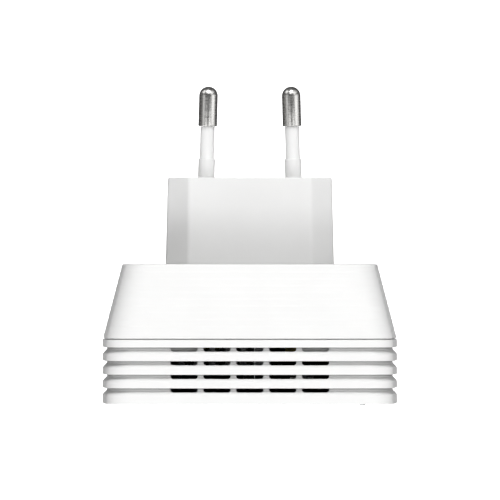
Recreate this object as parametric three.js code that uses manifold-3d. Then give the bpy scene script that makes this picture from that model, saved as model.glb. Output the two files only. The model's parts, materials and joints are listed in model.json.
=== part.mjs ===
// A mains powerline network adapter that hangs on a wall socket by its two-pin plug.
// Millimetres, in the position of use: +Y runs along the pins into the wall, +Z is up and
// +X is to the right of someone facing the adapter. The origin is the middle of the plug's face.
import * as THREE from 'three';
import { mergeVertices } from 'three/addons/utils/BufferGeometryUtils.js';
import { LoftGeometry } from 'three/addons/geometries/LoftGeometry.js';
import Module from 'manifold-3d';

const wasm = await Module();
wasm.setup();

// Gap between parts that rest on each other
const SEAT = 0.05;

// Housing
const WIDTH = 63.0;
const TOP = 36.0;
const BOTTOM = -40.0;
const DEPTH = 29.63;
const CORNER_R = 5.2;
const CROWN_R = 380.0;
const SIDE_R = 390.0;
const WALL = 2.1;
const FACE_WALL = 2.0;
const CORNER_STEPS = 6;
const CROWN_STEPS = 2;
const SIDE_STEPS = 3;

// Plug: flat two-pin pattern with leaning pins
const PLUG_LENGTH = 18.5;
const PLUG_WIDTH = 35.1;
const PLUG_HEIGHT = 13.7;
const PLUG_FLAT = 26.0;
const PLUG_NOSE = 4.6;
const PLUG_DRAFT = 0.46;
const PLUG_FACE_WALL = 3.0;
const FLANGE_WIDTH = 44.0;
const FLANGE_HEIGHT = 18.5;
const FLANGE_THICKNESS = 1.55;
const PLUG_SCREW_X = FLANGE_WIDTH / 2 - 2.3;
const PLUG_SIDE_WALL = 2.2;
const PLUG_EDGE = 0.35;
const PIN_LENGTH = 19.46;
const PIN_BASE_X = 9.32;
const PIN_TIP_X = 8.79;
const PIN_TIP_R = 2.0;
const PIN_TIP_LENGTH = 8.49;
const PIN_NECK_R = 1.0;
const PIN_TAIL = PLUG_LENGTH + 2.9;
const PIN_LEAN = (PIN_BASE_X - PIN_TIP_X) / PIN_LENGTH;
const SLEEVE_R = 1.53;
const COLLAR_R = 1.78;
const COLLAR_LENGTH = 4.04;
const SLEEVE_ROOT = 2.9;

// Depths of the housing, along Y
const REAR_Y = -PLUG_LENGTH;
const FRONT_Y = REAR_Y - DEPTH;
const SEAM_Y = FRONT_Y + 13.77;
const SEAM_GAP = 0.24;
const LIP_LENGTH = 1.3;
const LIP_INSET = 1.25;
const LIP_PLAY = 0.12;

const PLUG_SEAT_Y = REAR_Y - FACE_WALL - SEAT;

// Front cover: overhanging steps with vent slots under them, measured from the front face
const STEP_EDGES = [3.35, 6.22, 9.1, 11.99];
const GROOVE_DEPTH = 0.95;
const GROOVE_FLOOR = 0.5;
const GROOVE_SLOPE = 0.94;
const VENT_COLUMNS = 5;
const VENT_PITCH = 6.95;
const VENT_WIDTH = 5.77;
const VENT_HEIGHT = 0.74;
const VENT_R = 0.6;

// Rear cover: a taper of small ribs
const RIBS = 11;
const RIB_START_INSET = 0.12;
const RIB_WALL = 1.0;
const RIB_WALL_INSET = 0.194;
const RIB_STEP_INSET = 0.182;

// Blank rating plate on the rear face
const LABEL = { z: -20.5, width: 34.0, height: 16.0, cornerR: 1.5, thickness: 0.17 };

// Clips at the top end that hold the two covers together
const CLIP = { width: 7.0, low: 3.6, high: 2.7, reach: 4.0, rootLength: 3.0 };

// Boards
const POWER_BOARD = { rear: REAR_Y - 5.6, front: REAR_Y - 7.2, halfWidth: 23.5, low: -34.5, high: 30.5 };
const NETWORK_BOARD = { rear: FRONT_Y + 4.5, front: FRONT_Y + 3.3, halfWidth: 26.0, low: -36.0, high: 32.0 };
const TRANSFORMER = { lift: 7.0, width: 16.0, length: 14.0, thickness: 5.2 };
const REAR_POST_X = 19.5;
const REAR_POST_Z = [26.0, -29.5];
const FRONT_POST_X = 22.0;
const FRONT_POST_Z = [28.0, -31.0];
const POST_R = 2.2;
const SCREW = { shaft: 0.9, hole: 1.0, head: 1.9, headHeight: 1.2, clearance: 1.15 };

// Bottom end: network socket and two buttons on a flat pad
const PAD = { left: -17.5, right: 22.5, front: FRONT_Y + 2.7, rear: REAR_Y - 8.6, z: -39.2 };
const JACK = { x: -7.0, width: 16.0, height: 13.2, length: 17.0, mouthZ: -38.6, margin: 0.15, metal: 0.25 };
const PORT = { width: 11.7, height: 7.0, depth: 12.6, lift: 2.7, latchWidth: 6.2, latchHeight: 1.8 };
const CONTACTS = 8;
const CONTACT_PITCH = 1.016;
const BUTTON_Y = FRONT_Y + 7.3;
const PAIR = {
  x: 10.0, capR: 2.75, holeR: 2.98, tipZ: -39.6, flangeR: 3.5, backZ: -36.9, plungerR: 1.5, switchWidth: 6.0,
};
const RESET = { x: 18.0, holeR: 0.85, plungerR: 0.6, tipZ: -37.3, switchWidth: 4.6 };
const SWITCH = { z: -35.5, height: 3.5, bore: 1.6, entry: 0.6 };

// Indicators: a column of three light pipes that stand slightly proud of the front
const LENS_X = 23.9;
const LENS_Z = [21.0, 14.0, 7.0];
const LENS_WIDTH = 1.3;
const LENS_HEIGHT = 3.2;
const LENS_PROUD = 0.35;

const adapter = new THREE.Group();

// ---------------------------------------------------------------- helpers

function finish(color, roughness, metalness = 0) {
  return new THREE.MeshStandardMaterial({ color, roughness, metalness, flatShading: true });
}

// The solid inside a closed three.js geometry, from its positions alone.
function solid(geometry) {
  const bare = new THREE.BufferGeometry();
  bare.setAttribute('position', geometry.attributes.position);
  bare.setIndex(geometry.index);
  const merged = mergeVertices(bare, 1e-4);
  return new wasm.Manifold(new wasm.Mesh({
    numProp: 3,
    vertProperties: new Float32Array(merged.attributes.position.array),
    triVerts: new Uint32Array(merged.index.array),
  }));
}

// The three.js geometry of a solid.
function geometryOf(body) {
  const mesh = body.getMesh();
  const geometry = new THREE.BufferGeometry();
  geometry.setAttribute('position', new THREE.BufferAttribute(new Float32Array(mesh.vertProperties), 3));
  geometry.setIndex(new THREE.BufferAttribute(new Uint32Array(mesh.triVerts), 1));
  geometry.computeVertexNormals();
  return geometry;
}

function add(name, body, material, parent = adapter) {
  const mesh = new THREE.Mesh(geometryOf(body), material);
  mesh.name = name;
  parent.add(mesh);
  return mesh;
}

function union(bodies) {
  return bodies.reduce((whole, body) => whole.add(body));
}

// A box between two corners.
function block(low, high) {
  const size = high.map((value, i) => value - low[i]);
  const geometry = new THREE.BoxGeometry(...size);
  geometry.translate(...low.map((value, i) => value + size[i] / 2));
  return solid(geometry);
}

// A box by its centre in X and Z and its two Y levels.
function boxAt(x, z, width, height, y0, y1) {
  return block([x - width / 2, y0, z - height / 2], [x + width / 2, y1, z + height / 2]);
}

// A round rod along Y.
function rodY(x, z, radius, y0, y1, sides = 16) {
  const geometry = new THREE.CylinderGeometry(radius, radius, y1 - y0, sides);
  geometry.translate(x, (y0 + y1) / 2, z);
  return solid(geometry);
}

// A round rod along Z.
function rodZ(x, y, radius, z0, z1, sides = 16) {
  const geometry = new THREE.CylinderGeometry(radius, radius, z1 - z0, sides);
  geometry.rotateX(Math.PI / 2);
  geometry.translate(x, y, (z0 + z1) / 2);
  return solid(geometry);
}

// A round body along Y, turned from [radius, y] points.
function turned(x, z, points, sides = 16) {
  const geometry = new THREE.LatheGeometry(points.map(([r, y]) => new THREE.Vector2(r, y)), sides);
  geometry.translate(x, 0, z);
  return solid(geometry);
}

// An outline in X and Z carried straight along Y.
function prismY(shape, y0, y1, curveSegments = 3) {
  const geometry = new THREE.ExtrudeGeometry(shape, { depth: y1 - y0, bevelEnabled: false, curveSegments });
  geometry.rotateX(Math.PI / 2);
  geometry.translate(0, y1, 0);
  return solid(geometry);
}

// A rectangle with round corners, centred on x, z.
function roundedRectangle(x, z, width, height, radius) {
  const shape = new THREE.Shape();
  const right = x + width / 2 - radius;
  const left = x - width / 2 + radius;
  const high = z + height / 2 - radius;
  const low = z - height / 2 + radius;
  shape.absarc(right, high, radius, 0, Math.PI / 2);
  shape.absarc(left, high, radius, Math.PI / 2, Math.PI);
  shape.absarc(left, low, radius, Math.PI, Math.PI * 1.5);
  shape.absarc(right, low, radius, Math.PI * 1.5, Math.PI * 2);
  shape.closePath();
  return shape;
}

// The outer point at fixed distances from two points.
function outerPoint(first, firstDistance, second, secondDistance) {
  const between = second.clone().sub(first);
  const span = between.length();
  const along = (firstDistance ** 2 - secondDistance ** 2 + span ** 2) / (2 * span);
  const aside = Math.sqrt(firstDistance ** 2 - along ** 2);
  between.divideScalar(span);
  const across = new THREE.Vector2(-between.y, between.x);
  return first.clone().addScaledVector(between, along).addScaledVector(across, aside);
}

// One end of the housing's outline, from the middle of its right side over the end to the left side.
// The sides and the end are slightly bowed, and an arc joins them.
function endOutline(halfWidth, reach, middle, radius) {
  const side = new THREE.Vector2(halfWidth - SIDE_R, middle);
  const crown = new THREE.Vector2(0, reach - CROWN_R);
  const corner = outerPoint(side, SIDE_R - radius, crown, CROWN_R - radius);
  const rise = corner.clone().sub(side).angle();
  const lean = Math.PI / 2 - corner.clone().sub(crown).angle();
  const half = [];
  const arc = (centre, arcRadius, start, end, steps, first, last) => {
    for (let i = first; i <= last; i++) {
      const angle = start + ((end - start) * i) / steps;
      half.push([centre.x + arcRadius * Math.cos(angle), centre.y + arcRadius * Math.sin(angle)]);
    }
  };
  arc(side, SIDE_R, 0, rise, SIDE_STEPS, 0, SIDE_STEPS - 1);
  arc(corner, radius, rise, Math.PI / 2 - lean, CORNER_STEPS, 0, CORNER_STEPS);
  arc(crown, CROWN_R, Math.PI / 2 - lean, Math.PI / 2, CROWN_STEPS, 1, CROWN_STEPS);
  const mirrored = half.slice(1, -1).reverse().map(([x, z]) => [-x, z]);
  return [...half, ...mirrored];
}

// The housing's outline at one depth, drawn in from the full size by inset.
function housingSection(y, inset, radius) {
  const halfWidth = WIDTH / 2 - inset;
  const middle = (TOP + BOTTOM) / 2;
  const upper = endOutline(halfWidth, TOP - inset, middle, radius);
  const lower = endOutline(halfWidth, -BOTTOM - inset, -middle, radius).map(([x, z]) => [-x, -z]);
  return [...upper, ...lower].reverse().map(([x, z]) => new THREE.Vector3(x, y, z));
}

// A housing body lofted through rings of [y, inset, corner radius], from front to rear.
function housingLoft(rings) {
  const sections = rings.map(([y, inset, radius]) => housingSection(y, inset, radius));
  return solid(new LoftGeometry(sections, { capStart: true, capEnd: true }));
}

// The plug's outline: a flattened hexagon with round corners, grown by a margin.
function plugSection(y, margin, radius = 1.6, steps = 3) {
  const flat = PLUG_FLAT / 2 + margin * 0.4;
  const high = PLUG_HEIGHT / 2 + margin;
  const wide = PLUG_WIDTH / 2 + margin;
  const nose = PLUG_NOSE / 2 + margin * 0.4;
  const corners = [[wide, nose], [flat, high], [-flat, high], [-wide, nose], [-wide, -nose], [-flat, -high],
    [flat, -high], [wide, -nose]].map(([x, z]) => new THREE.Vector2(x, z));
  const points = [];
  corners.forEach((corner, i) => {
    const before = corners[(i + corners.length - 1) % corners.length].clone().sub(corner).normalize();
    const after = corners[(i + 1) % corners.length].clone().sub(corner).normalize();
    const half = Math.acos(before.dot(after)) / 2;
    const centre = before.clone().add(after).setLength(radius / Math.sin(half)).add(corner);
    const from = corner.clone().addScaledVector(before, radius / Math.tan(half)).sub(centre).angle();
    const turn = Math.PI - 2 * half;
    for (let step = 0; step <= steps; step++) {
      const angle = from + (turn * step) / steps;
      points.push([centre.x + radius * Math.cos(angle), centre.y + radius * Math.sin(angle)]);
    }
  });
  return points.reverse().map(([x, z]) => new THREE.Vector3(x, y, z));
}

function plugLoft(rings) {
  const sections = rings.map(([y, margin]) => plugSection(y, margin));
  return solid(new LoftGeometry(sections, { capStart: true, capEnd: true }));
}

// ---------------------------------------------------------------- housing

function frontCoverOutside() {
  const rings = [[FRONT_Y, 0, CORNER_R]];
  for (const edge of STEP_EDGES) {
    const y = FRONT_Y + edge;
    rings.push([y - GROOVE_FLOOR - GROOVE_SLOPE, 0, CORNER_R]);
    rings.push([y - GROOVE_FLOOR, GROOVE_DEPTH, CORNER_R]);
    rings.push([y, GROOVE_DEPTH, CORNER_R]);
    rings.push([y, 0, CORNER_R]);
  }
  rings.push([SEAM_Y - SEAM_GAP / 2, 0, CORNER_R]);
  return housingLoft(rings);
}

// A vent slot: straight under the overhang, rounded at its other side, cut along Z.
function ventCut(x, edgeY) {
  const shape = new THREE.Shape();
  const right = x + VENT_WIDTH / 2;
  const left = x - VENT_WIDTH / 2;
  const low = edgeY - VENT_HEIGHT + VENT_R;
  shape.moveTo(right, edgeY);
  shape.lineTo(left, edgeY);
  shape.absarc(left + VENT_R, low, VENT_R, Math.PI, Math.PI * 1.5);
  shape.absarc(right - VENT_R, low, VENT_R, Math.PI * 1.5, Math.PI * 2);
  shape.closePath();
  const geometry = new THREE.ExtrudeGeometry(shape, { depth: 5, bevelEnabled: false, curveSegments: 3 });
  geometry.translate(0, 0, TOP - 4);
  return solid(geometry);
}

function ventCuts() {
  const cuts = [];
  for (const edge of STEP_EDGES) {
    for (let column = 0; column < VENT_COLUMNS; column++) {
      cuts.push(ventCut((column - (VENT_COLUMNS - 1) / 2) * VENT_PITCH, FRONT_Y + edge));
    }
  }
  return union(cuts);
}

// What both covers lose at the bottom end: all below the flat pad, and the socket's window.
function bottomCuts() {
  const below = block([PAD.left, PAD.front, BOTTOM - 2], [PAD.right, PAD.rear, PAD.z]);
  const reach = JACK.width / 2 + JACK.margin;
  const jackLow = [JACK.x - reach, NETWORK_BOARD.rear - JACK.margin, BOTTOM - 2];
  const jackHigh = [JACK.x + reach, NETWORK_BOARD.rear + JACK.height + JACK.margin, BOTTOM + 7];
  return below.add(block(jackLow, jackHigh));
}

function frontCover() {
  const innerR = CORNER_R - WALL;
  const lipR = CORNER_R - LIP_INSET;
  const rebateY = SEAM_Y - SEAM_GAP / 2 - LIP_LENGTH;
  const cavity = housingLoft([[FRONT_Y + FACE_WALL, WALL, innerR], [SEAM_Y + 1, WALL, innerR]]);
  const rebate = housingLoft([[rebateY, LIP_INSET, lipR], [SEAM_Y + 1, LIP_INSET, lipR]]);
  const pad = block([PAD.left, PAD.front, PAD.z], [PAD.right, SEAM_Y - SEAM_GAP / 2, BOTTOM + WALL]);
  const postEnd = NETWORK_BOARD.front - SEAT;
  const posts = [];
  const holes = [];
  for (const side of [-1, 1]) {
    for (const z of FRONT_POST_Z) {
      posts.push(rodY(side * FRONT_POST_X, z, POST_R, FRONT_Y + FACE_WALL - 0.5, postEnd));
      holes.push(rodY(side * FRONT_POST_X, z, SCREW.hole, FRONT_Y + 0.9, postEnd + 1, 12));
    }
  }
  const lensHoles = LENS_Z.map((z) => prismY(
    roundedRectangle(LENS_X, z, LENS_WIDTH + 0.2, LENS_HEIGHT + 0.2, LENS_WIDTH / 2 + 0.1),
    FRONT_Y - 1, FRONT_Y + FACE_WALL + 1));
  const buttonHoles = [
    rodZ(PAIR.x, BUTTON_Y, PAIR.holeR, BOTTOM - 1, -36, 24),
    rodZ(RESET.x, BUTTON_Y, RESET.holeR, BOTTOM - 1, -36, 16),
  ];
  return frontCoverOutside()
    .add(pad)
    .subtract(cavity.add(rebate))
    .add(union(posts))
    .subtract(union([ventCuts(), bottomCuts(), ...holes, ...lensHoles, ...buttonHoles]));
}

function ribRings(extraInset, radius) {
  const start = SEAM_Y + SEAM_GAP / 2;
  const pitch = (REAR_Y - start) / RIBS;
  const rings = [];
  let inset = RIB_START_INSET + extraInset;
  for (let rib = 0; rib < RIBS; rib++) {
    const y = start + rib * pitch;
    rings.push([y, inset, radius]);
    inset += RIB_WALL_INSET;
    rings.push([y + RIB_WALL, inset, radius]);
    inset += RIB_STEP_INSET;
  }
  rings.push([REAR_Y, inset, radius]);
  return rings;
}

// The inside of the rear cover: a plain taper at one wall from the ribs.
function rearCavity() {
  const start = SEAM_Y + SEAM_GAP / 2;
  const end = REAR_Y - FACE_WALL;
  const rate = (RIBS * (RIB_WALL_INSET + RIB_STEP_INSET)) / (REAR_Y - start);
  const inset = RIB_START_INSET + WALL;
  return housingLoft([
    [start - LIP_LENGTH - 1, inset, CORNER_R - WALL],
    [start, inset, CORNER_R - WALL],
    [end, inset + rate * (end - start), CORNER_R - WALL],
  ]);
}

// A clip at the top end that reaches into the front cover, behind the outer vent slots.
function topClip(x) {
  const half = CLIP.width / 2;
  const low = TOP - CLIP.low;
  const root = block([x - half, SEAM_Y, low], [x + half, SEAM_Y + CLIP.rootLength, TOP - WALL]);
  const tongue = block([x - half, SEAM_Y - CLIP.reach, low], [x + half, SEAM_Y + 1, TOP - CLIP.high]);
  return root.add(tongue);
}

function rearCover() {
  const outside = housingLoft(ribRings(0, CORNER_R));
  const start = SEAM_Y + SEAM_GAP / 2;
  const lipOuter = LIP_INSET + LIP_PLAY;
  const lip = housingLoft([
    [start - LIP_LENGTH, lipOuter, CORNER_R - lipOuter],
    [start + 0.5, lipOuter, CORNER_R - lipOuter],
  ]);
  const posts = [];
  const holes = [];
  for (const side of [-1, 1]) {
    for (const z of REAR_POST_Z) {
      posts.push(rodY(side * REAR_POST_X, z, POST_R, POWER_BOARD.rear + SEAT, REAR_Y - 1));
      holes.push(rodY(side * REAR_POST_X, z, SCREW.hole, POWER_BOARD.rear - 1, REAR_Y - 0.8, 12));
    }
    holes.push(rodY(side * PLUG_SCREW_X, 0, SCREW.hole, REAR_Y - FACE_WALL - 1, REAR_Y - 0.8, 12));
  }
  const plugHole = plugLoft([[REAR_Y - FACE_WALL - 1, PLUG_DRAFT + 0.15], [REAR_Y + 1, PLUG_DRAFT + 0.15]]);
  return union([outside, lip])
    .subtract(rearCavity())
    .add(union([topClip(-2 * VENT_PITCH), topClip(2 * VENT_PITCH), ...posts]))
    .subtract(union([plugHole, bottomCuts(), ...holes]));
}

// A blank rating plate on the rear face, under the plug.
function ratingLabel() {
  const outline = roundedRectangle(0, LABEL.z, LABEL.width, LABEL.height, LABEL.cornerR);
  return prismY(outline, REAR_Y + 0.02, REAR_Y + LABEL.thickness);
}

// ---------------------------------------------------------------- plug

function plugFlange() {
  const outline = roundedRectangle(0, 0, FLANGE_WIDTH, FLANGE_HEIGHT, 2);
  return prismY(outline, PLUG_SEAT_Y - FLANGE_THICKNESS, PLUG_SEAT_Y);
}

function plugBlock() {
  const back = PLUG_SEAT_Y - FLANGE_THICKNESS;
  const outside = plugLoft([
    [PLUG_SEAT_Y - 0.5, PLUG_DRAFT],
    [REAR_Y, PLUG_DRAFT],
    [-PLUG_EDGE, PLUG_DRAFT * 0.02],
    [0, -PLUG_EDGE],
  ]);
  const cuts = [plugLoft([[back - 1, -PLUG_SIDE_WALL], [-PLUG_FACE_WALL, -PLUG_SIDE_WALL - 0.2]])];
  for (const side of [-1, 1]) {
    cuts.push(rodY(side * (PIN_BASE_X + 0.04), 0, COLLAR_R + 0.2, -PLUG_FACE_WALL - 1, 1, 20));
    cuts.push(rodY(side * PLUG_SCREW_X, 0, SCREW.clearance, back - 1, REAR_Y - 2, 12));
  }
  return union([outside, plugFlange()]).subtract(union(cuts));
}

// The insulating plate that locks both pins in the back of the plug.
function pinCarrier() {
  const front = REAR_Y + 0.5;
  const back = REAR_Y - 2.6;
  const tailX = PIN_BASE_X + PIN_LEAN * (PIN_TAIL - 1.3);
  const holes = [-1, 1].map((side) => rodY(side * tailX, 0, PIN_NECK_R + 0.3, back - 1, front + 1, 12));
  return plugLoft([[back, -2.6], [front, -2.6]]).subtract(union(holes));
}

function pinProfile() {
  const tipStart = PIN_LENGTH - PIN_TIP_LENGTH;
  const shoulder = 0.3;
  const points = [[0, -PIN_TAIL], [PIN_NECK_R, -PIN_TAIL], [PIN_NECK_R, tipStart]];
  points.push([PIN_TIP_R - shoulder, tipStart], [PIN_TIP_R, tipStart + shoulder]);
  const steps = 6;
  for (let i = 0; i < steps; i++) {
    const angle = (Math.PI / 2) * (i / steps);
    points.push([PIN_TIP_R * Math.cos(angle), PIN_LENGTH - PIN_TIP_R + PIN_TIP_R * Math.sin(angle)]);
  }
  points.push([0, PIN_LENGTH]);
  return points;
}

function sleeveProfile() {
  const bore = PIN_NECK_R + 0.12;
  const top = PIN_LENGTH - PIN_TIP_LENGTH - SEAT;
  return [
    [bore, -SLEEVE_ROOT],
    [COLLAR_R, -SLEEVE_ROOT],
    [COLLAR_R, COLLAR_LENGTH - 0.1],
    [COLLAR_R - 0.1, COLLAR_LENGTH],
    [SLEEVE_R, COLLAR_LENGTH + 0.05],
    [SLEEVE_R, top],
    [bore, top],
    [bore, -SLEEVE_ROOT],
  ];
}

// A brass tab from the pin's tail to the power board.
function contactTab(side) {
  const tailX = side * (PIN_BASE_X + PIN_LEAN * PIN_TAIL);
  const near = -PIN_TAIL - SEAT;
  const far = POWER_BOARD.rear + SEAT;
  const metal = 0.5;
  return union([
    boxAt(tailX, 0, 4, 4, near - metal, near),
    block([tailX - 2, far, 1.5], [tailX + 2, near, 2]),
    boxAt(tailX, 0, 4, 4, far, far + metal),
  ]);
}

function addPlug() {
  const nickel = finish(0xc9c7c2, 0.25, 1);
  const white = finish(0xf2f2f0, 0.5);
  const brass = finish(0xb59a55, 0.35, 1);
  add('plug_block', plugBlock(), finish(0xdcdcda, 0.6));
  add('pin_carrier', pinCarrier(), finish(0x2c2d2f, 0.7));
  for (const [name, side] of [['left', -1], ['right', 1]]) {
    const group = new THREE.Group();
    group.position.set(side * PIN_BASE_X, 0, 0);
    group.rotation.z = side * Math.atan(PIN_LEAN);
    adapter.add(group);
    add(`pin_${name}`, turned(0, 0, pinProfile(), 20), nickel, group);
    add(`sleeve_${name}`, turned(0, 0, sleeveProfile(), 20), white, group);
    add(`contact_${name}`, contactTab(side), brass);
    addScrew(`plug_screw_${name}`, side * PLUG_SCREW_X, 0, PLUG_SEAT_Y - FLANGE_THICKNESS - SEAT, 1);
  }
}

// A pan-head screw along Y: its shaft points along direction from the seat.
function addScrew(name, x, z, seatY, direction, shaft = 3.0) {
  const head = [[0, 0], [SCREW.head * 0.7, 0], [SCREW.head, 0.4], [SCREW.head, SCREW.headHeight]];
  const body = [[SCREW.shaft, SCREW.headHeight], [SCREW.shaft, SCREW.headHeight + shaft - 0.6],
    [0, SCREW.headHeight + shaft]];
  const group = new THREE.Group();
  group.position.set(x, seatY - direction * SCREW.headHeight, z);
  group.rotation.x = direction > 0 ? 0 : Math.PI;
  adapter.add(group);
  const slot = block([-1.2, -0.5, -0.25], [1.2, 0.5, 0.25]);
  add(name, turned(0, 0, [...head, ...body], 12).subtract(slot), finish(0x9d9d9a, 0.35, 1), group);
}

// ---------------------------------------------------------------- power board

// The holes of a board's two screws and two plain posts.
function boardHoles(board, postX, postZ) {
  const holes = [];
  for (const side of [-1, 1]) {
    for (const z of postZ) {
      holes.push(rodY(side * postX, z, SCREW.clearance, board.front - 1, board.rear + 1, 12));
    }
  }
  return union(holes);
}

function board(sheet, postX, postZ) {
  const middle = (sheet.low + sheet.high) / 2;
  const outline = roundedRectangle(0, middle, sheet.halfWidth * 2, sheet.high - sheet.low, 3);
  return prismY(outline, sheet.front, sheet.rear).subtract(boardHoles(sheet, postX, postZ));
}

// A part on the front of the power board, with its height towards the front.
function onPower(x, z, width, length, height) {
  const foot = POWER_BOARD.front - SEAT;
  return boxAt(x, z, width, length, foot - height, foot);
}

// Two legs from a raised body down to the power board.
function powerLegs(x, z, spread, depth) {
  const foot = POWER_BOARD.front - SEAT;
  return union([-1, 1].map((side) => boxAt(x, z + side * spread / 2, 0.7, 0.7, foot - depth, foot)));
}

// A can capacitor lying along X, with the groove that holds its seal.
function canCapacitor(x, z, radius, length) {
  const y = POWER_BOARD.front - SEAT - radius - 0.1;
  const rim = 0.6;
  const profile = [
    [0, 0],
    [radius - rim, 0],
    [radius, rim],
    [radius, length - 5 * rim],
    [radius - rim, length - 4 * rim],
    [radius, length - 3 * rim],
    [radius, length - rim],
    [radius - rim, length],
    [0, length],
  ];
  const geometry = new THREE.LatheGeometry(profile.map(([r, s]) => new THREE.Vector2(r, s)), 14);
  geometry.rotateZ(-Math.PI / 2);
  geometry.translate(x - length / 2, y, z);
  return solid(geometry);
}

function ferriteFrame(x, z) {
  const middle = POWER_BOARD.front - TRANSFORMER.lift;
  const half = TRANSFORMER.thickness / 2;
  const frame = boxAt(x, z, TRANSFORMER.width, TRANSFORMER.length, middle - half, middle + half);
  const windows = [-1, 1].map((side) => boxAt(x + side * 4.25, z, 3.9, 10, middle - 4, middle + 4));
  return frame.subtract(union(windows));
}

function bobbinWinding(x, z) {
  const foot = POWER_BOARD.front - SEAT;
  const middle = POWER_BOARD.front - TRANSFORMER.lift;
  const coil = boxAt(x, z, 11.9, 9.6, middle - 5.4, middle + 5.4);
  const tunnel = boxAt(x, z, 5.0, 12, middle - 2.9, middle + 2.9);
  const legs = [-1, 1].map((side) => boxAt(x, z + side * 4.2, 9, 1, foot - 3, foot));
  return union([coil, ...legs]).subtract(tunnel);
}

// The ring core of the mains choke, flat on the board.
function chokeRing(x, z, inner, outer, y0, y1, sides = 24) {
  const profile = [[inner, y0], [outer, y0], [outer, y1], [inner, y1], [inner, y0]];
  return turned(x, z, profile, sides);
}

// One half of the choke's wire, wound round the ring core.
function chokeWinding(x, z, side, core) {
  const grow = 0.15;
  const wire = 1.0;
  const coil = chokeRing(x, z, core.inner - wire, core.outer + wire, core.y0 - wire, core.y1 + wire);
  const room = chokeRing(x, z, core.inner - grow, core.outer + grow, core.y0 - grow, core.y1 + grow);
  const reach = 12;
  const keep = boxAt(x + side * (reach / 2 + 1.6), z, reach, 2 * reach, core.y0 - 2, core.y1 + 2);
  return coil.intersect(keep).subtract(room);
}

function disc(x, z, radius, thickness, clear) {
  const y = POWER_BOARD.front - SEAT - clear - radius;
  const geometry = new THREE.CylinderGeometry(radius, radius, thickness, 16);
  geometry.rotateZ(Math.PI / 2);
  geometry.translate(x, y, z);
  return solid(geometry).add(powerLegs(x, z, radius, clear + radius));
}

function addPowerBoard() {
  const black = finish(0x1d1e20, 0.6);
  add('power_board', board(POWER_BOARD, REAR_POST_X, REAR_POST_Z), finish(0x1f5c38, 0.55));
  addScrew('power_board_screw_1', REAR_POST_X, REAR_POST_Z[0], POWER_BOARD.front - SEAT, 1);
  addScrew('power_board_screw_2', -REAR_POST_X, REAR_POST_Z[1], POWER_BOARD.front - SEAT, 1);

  const fuseY = POWER_BOARD.front - SEAT - 2.1;
  const fuseBody = rodZ(-20.5, fuseY, 2.0, -19, -9, 16);
  add('fuse', fuseBody, finish(0x6b4a2d, 0.5));
  add('varistor', disc(19.5, -17, 4.0, 3.2, 1.2), finish(0x2a4f9c, 0.4));
  add('filter_capacitor', onPower(-12.5, -13, 12, 6, 11), finish(0xd8c24a, 0.45));
  add('safety_capacitor', disc(0, 24.5, 3.6, 3, 1.0), finish(0x3b78b8, 0.4));

  const core = { inner: 3.6, outer: 6.4, y0: POWER_BOARD.front - 5.6, y1: POWER_BOARD.front - 1.2 };
  const chokeX = 10;
  const chokeZ = -9;
  const ring = chokeRing(chokeX, chokeZ, core.inner, core.outer, core.y0, core.y1);
  const copper = finish(0xb5642f, 0.3, 1);
  add('choke_core', ring, finish(0x3d6b4a, 0.5));
  add('choke_winding_1', chokeWinding(chokeX, chokeZ, -1, core), copper);
  add('choke_winding_2', chokeWinding(chokeX, chokeZ, 1, core), copper);

  add('bridge_rectifier', onPower(-13, -21.5, 8, 6, 2.6), black);
  add('controller_chip', onPower(-13, 3, 5, 4, 1.6), black);
  add('output_diode', onPower(-13, 12, 7, 6, 2.3), black);
  add('bulk_capacitor', canCapacitor(-12.5, 24.5, 5.0, 17), finish(0x24262b, 0.35));
  add('output_capacitor', canCapacitor(10, 25.5, 4.0, 13), finish(0x27303f, 0.35));
  add('power_transformer_core', ferriteFrame(13.5, 10), finish(0x3a3a3c, 0.75));
  add('power_transformer_winding', bobbinWinding(13.5, 10), finish(0xd9b23c, 0.5));
  add('coupling_transformer', onPower(-1.5, -13, 8, 8.5, 6.5), black);
}

// ---------------------------------------------------------------- network board

// A part on the rear of the network board, with its height towards the rear.
function onNetwork(x, z, width, length, height, lift = SEAT) {
  const foot = NETWORK_BOARD.rear + lift;
  return boxAt(x, z, width, length, foot, foot + height);
}

function heatSink(x, z, lift) {
  const size = 22;
  const fins = 7;
  const base = onNetwork(x, z, size, size, 1.2, lift);
  const gaps = [];
  const pitch = (size + 1.2) / fins;
  for (let fin = 1; fin < fins; fin++) {
    gaps.push(boxAt(x - size / 2 - 0.6 + fin * pitch, z, pitch - 1.2, size + 2, NETWORK_BOARD.rear, 0));
  }
  const block = onNetwork(x, z, size, size, 5.5, lift);
  return block.subtract(union(gaps)).add(base);
}

// The pin header that joins the two boards.
function boardHeader() {
  const x = -21.6;
  const pitch = 2.54;
  const count = 6;
  const middle = 4;
  const bar = onNetwork(x, middle, 2.5, pitch * count, 2.5);
  const pins = [];
  for (let i = 0; i < count; i++) {
    const z = middle + (i - (count - 1) / 2) * pitch;
    pins.push(boxAt(x, z, 0.64, 0.64, NETWORK_BOARD.rear + 1, POWER_BOARD.front - SEAT));
  }
  return union([bar, ...pins]);
}

function jackShield() {
  const y0 = NETWORK_BOARD.rear + SEAT;
  const y1 = NETWORK_BOARD.rear + JACK.height;
  const z1 = JACK.mouthZ + JACK.length;
  const half = JACK.width / 2;
  const outside = block([JACK.x - half, y0, JACK.mouthZ], [JACK.x + half, y1, z1]);
  const inside = block(
    [JACK.x - half + JACK.metal, y0 - 1, JACK.mouthZ - 1],
    [JACK.x + half - JACK.metal, y1 - JACK.metal, z1 - JACK.metal]);
  return outside.subtract(inside);
}

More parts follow.
